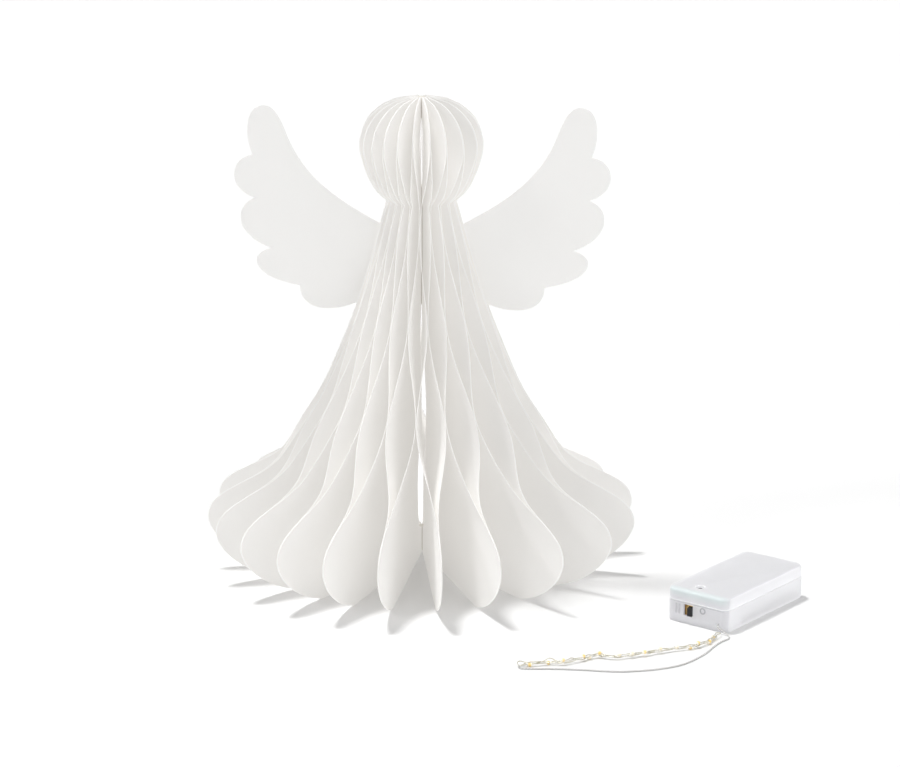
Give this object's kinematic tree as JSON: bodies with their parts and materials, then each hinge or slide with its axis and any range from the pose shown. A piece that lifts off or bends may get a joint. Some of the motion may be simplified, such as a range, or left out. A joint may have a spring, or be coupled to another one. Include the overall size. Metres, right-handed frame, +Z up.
{
  "type": "light-up paper angel",
  "caption": "Honeycomb paper angel that opens like a fan round its spine, with flat card wings, and a light string on a switched battery case.",
  "frame": {"origin": "on the ground, at the bottom centre of the figure and the battery case together", "axes": "+Z up the spine, -Y towards the front of the figure, +X towards the battery case"},
  "size_m": [0.3129, 0.287, 0.254],
  "materials": {
    "paper": "thin matt white paper",
    "card": "smooth white card",
    "thread": "wound white thread",
    "adhesive": "clear adhesive pad",
    "frosted_plastic": "frosted clear",
    "steel": "plated",
    "brass": "bright",
    "cell_jacket": "plain jacket",
    "black_plastic": "moulded",
    "wire_cover": "insulated wire",
    "lead_cover": "clear covered wire",
    "light_wire": "fine twisted wire"
  },
  "bodies": {
    "root": {"leaf_r01_a": "paper", "leaf_r01_b": "paper", "foot_binding": "thread", "neck_binding": "thread", "crown_binding": "thread", "case_body": "frosted_plastic", "cell_right": "cell_jacket", "cell_left": "cell_jacket", "positive_tab": "steel", "negative_spring": "steel", "bridge_contact": "steel", "switch_channel": "brass", "switch_wire": "wire_cover", "lead": "lead_cover", "light_string": "light_wire"},
    "petal_r02": {"leaf_r02_a": "paper", "leaf_r02_b": "paper"},
    "petal_r03": {"leaf_r03_a": "paper", "leaf_r03_b": "paper"},
    "petal_r04": {"leaf_r04_a": "paper", "leaf_r04_b": "paper"},
    "petal_r05": {"leaf_r05_a": "paper", "leaf_r05_b": "paper"},
    "petal_r06": {"leaf_r06_a": "paper", "leaf_r06_b": "paper"},
    "petal_r07": {"leaf_r07_a": "paper", "leaf_r07_b": "paper"},
    "petal_r08": {"leaf_r08_a": "paper", "leaf_r08_b": "paper"},
    "petal_r09": {"leaf_r09_a": "paper", "leaf_r09_b": "paper"},
    "petal_r10": {"leaf_r10_a": "paper", "leaf_r10_b": "paper", "seam_pad_lower": "adhesive", "seam_pad_upper": "adhesive"},
    "petal_l01": {"leaf_l01_a": "paper", "leaf_l01_b": "paper"},
    "petal_l02": {"leaf_l02_a": "paper", "leaf_l02_b": "paper"},
    "petal_l03": {"leaf_l03_a": "paper", "leaf_l03_b": "paper"},
    "petal_l04": {"leaf_l04_a": "paper", "leaf_l04_b": "paper"},
    "petal_l05": {"leaf_l05_a": "paper", "leaf_l05_b": "paper"},
    "petal_l06": {"leaf_l06_a": "paper", "leaf_l06_b": "paper"},
    "petal_l07": {"leaf_l07_a": "paper", "leaf_l07_b": "paper"},
    "petal_l08": {"leaf_l08_a": "paper", "leaf_l08_b": "paper"},
    "petal_l09": {"leaf_l09_a": "paper", "leaf_l09_b": "paper"},
    "petal_l10": {"leaf_l10_a": "paper", "leaf_l10_b": "paper"},
    "wing_left": {"wing_left": "card"},
    "wing_right": {"wing_right": "card"},
    "lid": {"case_lid": "frosted_plastic", "lid_screw": "steel"},
    "slider": {"switch_slider": "black_plastic"}
  },
  "joints": [
    {"name": "fan_fold", "type": "hinge", "parent": "root", "child": "petal_r10", "pos_m": [-0.04234, 0, 0.1], "axis": [0, 0, -1], "range_deg": [0, 162.8], "deforming": ["leaf_r01_a", "leaf_r01_b", "leaf_r02_a", "leaf_r02_b", "leaf_r03_a", "leaf_r03_b", "leaf_r04_a", "leaf_r04_b", "leaf_r05_a", "leaf_r05_b", "leaf_r06_a", "leaf_r06_b", "leaf_r07_a", "leaf_r07_b", "leaf_r08_a", "leaf_r08_b", "leaf_r09_a", "leaf_r09_b", "leaf_r10_a", "leaf_r10_b", "leaf_l01_a", "leaf_l01_b", "leaf_l02_a", "leaf_l02_b", "leaf_l03_a", "leaf_l03_b", "leaf_l04_a", "leaf_l04_b", "leaf_l05_a", "leaf_l05_b", "leaf_l06_a", "leaf_l06_b", "leaf_l07_a", "leaf_l07_b", "leaf_l08_a", "leaf_l08_b", "leaf_l09_a", "leaf_l09_b", "leaf_l10_a", "leaf_l10_b"]},
    {"name": "petal_r02_fold", "type": "hinge", "parent": "root", "child": "petal_r02", "pos_m": [-0.04234, 0, 0.1], "axis": [0, 0, -1], "range_deg": [0, 14.21]},
    {"name": "petal_r03_fold", "type": "hinge", "parent": "root", "child": "petal_r03", "pos_m": [-0.04234, 0, 0.1], "axis": [0, 0, -1], "range_deg": [0, 31.71]},
    {"name": "petal_r04_fold", "type": "hinge", "parent": "root", "child": "petal_r04", "pos_m": [-0.04234, 0, 0.1], "axis": [0, 0, -1], "range_deg": [0, 50.81]},
    {"name": "petal_r05_fold", "type": "hinge", "parent": "root", "child": "petal_r05", "pos_m": [-0.04234, 0, 0.1], "axis": [0, 0, -1], "range_deg": [0, 69.71]},
    {"name": "petal_r06_fold", "type": "hinge", "parent": "root", "child": "petal_r06", "pos_m": [-0.04234, 0, 0.1], "axis": [0, 0, -1], "range_deg": [0, 88.31]},
    {"name": "petal_r07_fold", "type": "hinge", "parent": "root", "child": "petal_r07", "pos_m": [-0.04234, 0, 0.1], "axis": [0, 0, -1], "range_deg": [0, 106.91]},
    {"name": "petal_r08_fold", "type": "hinge", "parent": "root", "child": "petal_r08", "pos_m": [-0.04234, 0, 0.1], "axis": [0, 0, -1], "range_deg": [0, 125.51]},
    {"name": "petal_r09_fold", "type": "hinge", "parent": "root", "child": "petal_r09", "pos_m": [-0.04234, 0, 0.1], "axis": [0, 0, -1], "range_deg": [0, 144.11]},
    {"name": "petal_l01_fold", "type": "hinge", "parent": "root", "child": "petal_l01", "pos_m": [-0.04234, 0, 0.1], "axis": [0, 0, 1], "range_deg": [0, 15.11]},
    {"name": "petal_l02_fold", "type": "hinge", "parent": "root", "child": "petal_l02", "pos_m": [-0.04234, 0, 0.1], "axis": [0, 0, 1], "range_deg": [0, 28.81]},
    {"name": "petal_l03_fold", "type": "hinge", "parent": "root", "child": "petal_l03", "pos_m": [-0.04234, 0, 0.1], "axis": [0, 0, 1], "range_deg": [0, 42.01]},
    {"name": "petal_l04_fold", "type": "hinge", "parent": "root", "child": "petal_l04", "pos_m": [-0.04234, 0, 0.1], "axis": [0, 0, 1], "range_deg": [0, 55.61]},
    {"name": "petal_l05_fold", "type": "hinge", "parent": "root", "child": "petal_l05", "pos_m": [-0.04234, 0, 0.1], "axis": [0, 0, 1], "range_deg": [0, 70.41]},
    {"name": "petal_l06_fold", "type": "hinge", "parent": "root", "child": "petal_l06", "pos_m": [-0.04234, 0, 0.1], "axis": [0, 0, 1], "range_deg": [0, 84.21]},
    {"name": "petal_l07_fold", "type": "hinge", "parent": "root", "child": "petal_l07", "pos_m": [-0.04234, 0, 0.1], "axis": [0, 0, 1], "range_deg": [0, 102.81]},
    {"name": "petal_l08_fold", "type": "hinge", "parent": "root", "child": "petal_l08", "pos_m": [-0.04234, 0, 0.1], "axis": [0, 0, 1], "range_deg": [0, 121.41]},
    {"name": "petal_l09_fold", "type": "hinge", "parent": "root", "child": "petal_l09", "pos_m": [-0.04234, 0, 0.1], "axis": [0, 0, 1], "range_deg": [0, 140.01]},
    {"name": "petal_l10_fold", "type": "hinge", "parent": "root", "child": "petal_l10", "pos_m": [-0.04234, 0, 0.1], "axis": [0, 0, 1], "range_deg": [0, 158.61]},
    {"name": "wing_left_fold", "type": "hinge", "parent": "root", "child": "wing_left", "pos_m": [-0.04234, 0, 0.1], "axis": [0, 0, 1], "range_deg": [0, 93.51]},
    {"name": "wing_right_fold", "type": "hinge", "parent": "root", "child": "wing_right", "pos_m": [-0.04234, 0, 0.1], "axis": [0, 0, -1], "range_deg": [0, 79.01]},
    {"name": "switch_slide", "type": "slide", "parent": "root", "child": "slider", "axis": [-0.7859, 0.6184, 0], "range_m": [0, 0.0022]},
    {"name": "lid_lift", "type": "slide", "parent": "root", "child": "lid", "axis": [0, 0, 1], "range_m": [0, 0.025]}
  ],
  "couplings": [
    {"joint": "petal_r02_fold", "follows": "fan_fold", "ratio": 0.087224},
    {"joint": "petal_r03_fold", "follows": "fan_fold", "ratio": 0.19472},
    {"joint": "petal_r04_fold", "follows": "fan_fold", "ratio": 0.31204},
    {"joint": "petal_r05_fold", "follows": "fan_fold", "ratio": 0.42813},
    {"joint": "petal_r06_fold", "follows": "fan_fold", "ratio": 0.54238},
    {"joint": "petal_r07_fold", "follows": "fan_fold", "ratio": 0.65663},
    {"joint": "petal_r08_fold", "follows": "fan_fold", "ratio": 0.77089},
    {"joint": "petal_r09_fold", "follows": "fan_fold", "ratio": 0.88514},
    {"joint": "petal_l01_fold", "follows": "fan_fold", "ratio": 0.092752},
    {"joint": "petal_l02_fold", "follows": "fan_fold", "ratio": 0.1769},
    {"joint": "petal_l03_fold", "follows": "fan_fold", "ratio": 0.25799},
    {"joint": "petal_l04_fold", "follows": "fan_fold", "ratio": 0.34152},
    {"joint": "petal_l05_fold", "follows": "fan_fold", "ratio": 0.43243},
    {"joint": "petal_l06_fold", "follows": "fan_fold", "ratio": 0.5172},
    {"joint": "petal_l07_fold", "follows": "fan_fold", "ratio": 0.63145},
    {"joint": "petal_l08_fold", "follows": "fan_fold", "ratio": 0.7457},
    {"joint": "petal_l09_fold", "follows": "fan_fold", "ratio": 0.85995},
    {"joint": "petal_l10_fold", "follows": "fan_fold", "ratio": 0.9742},
    {"joint": "wing_left_fold", "follows": "fan_fold", "ratio": 0.57432},
    {"joint": "wing_right_fold", "follows": "fan_fold", "ratio": 0.48526}
  ]
}
